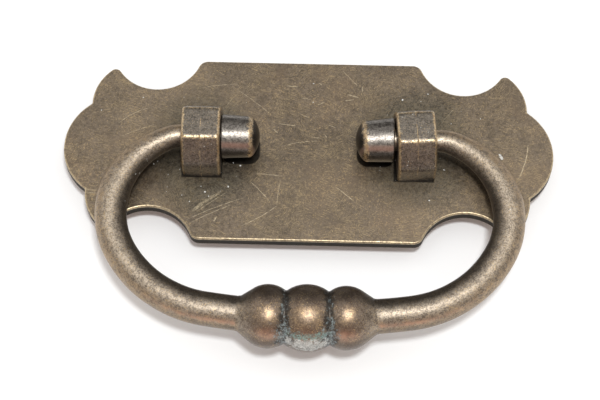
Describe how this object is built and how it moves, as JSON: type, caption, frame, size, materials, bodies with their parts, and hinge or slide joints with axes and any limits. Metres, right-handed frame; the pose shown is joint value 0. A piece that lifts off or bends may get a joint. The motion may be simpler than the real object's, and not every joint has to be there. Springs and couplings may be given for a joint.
{
  "type": "drop pull",
  "caption": "Scalloped flat back plate with two faceted posts and a hinged D-shaped bail that has a beaded bar and domed end knobs.",
  "frame": {"origin": "middle of the plate's flat back face, where it lies against the drawer front", "axes": "+X along the plate's width, +Y up the drawer front, +Z out of the drawer front; the bail hangs towards -Y"},
  "size_m": [0.1186, 0.0781, 0.0159],
  "materials": {
    "plate": "aged satin, scratched",
    "posts": "dark patina, rubbed edges",
    "bail": "dark patina, rubbed, verdigris in the grooves",
    "knobs": "dark patina, rubbed rims"
  },
  "bodies": {
    "fixed_plate": {"back_plate": "plate", "left_post": "posts", "right_post": "posts"},
    "swinging_bail": {"bail": "bail", "left_knob": "knobs", "right_knob": "knobs"}
  },
  "joints": [
    {"name": "bail_swing", "type": "hinge", "parent": "fixed_plate", "child": "swinging_bail", "pos_m": [0, 0, 0.0087], "axis": [-1, 0, 0], "range_deg": [0, 182]}
  ]
}
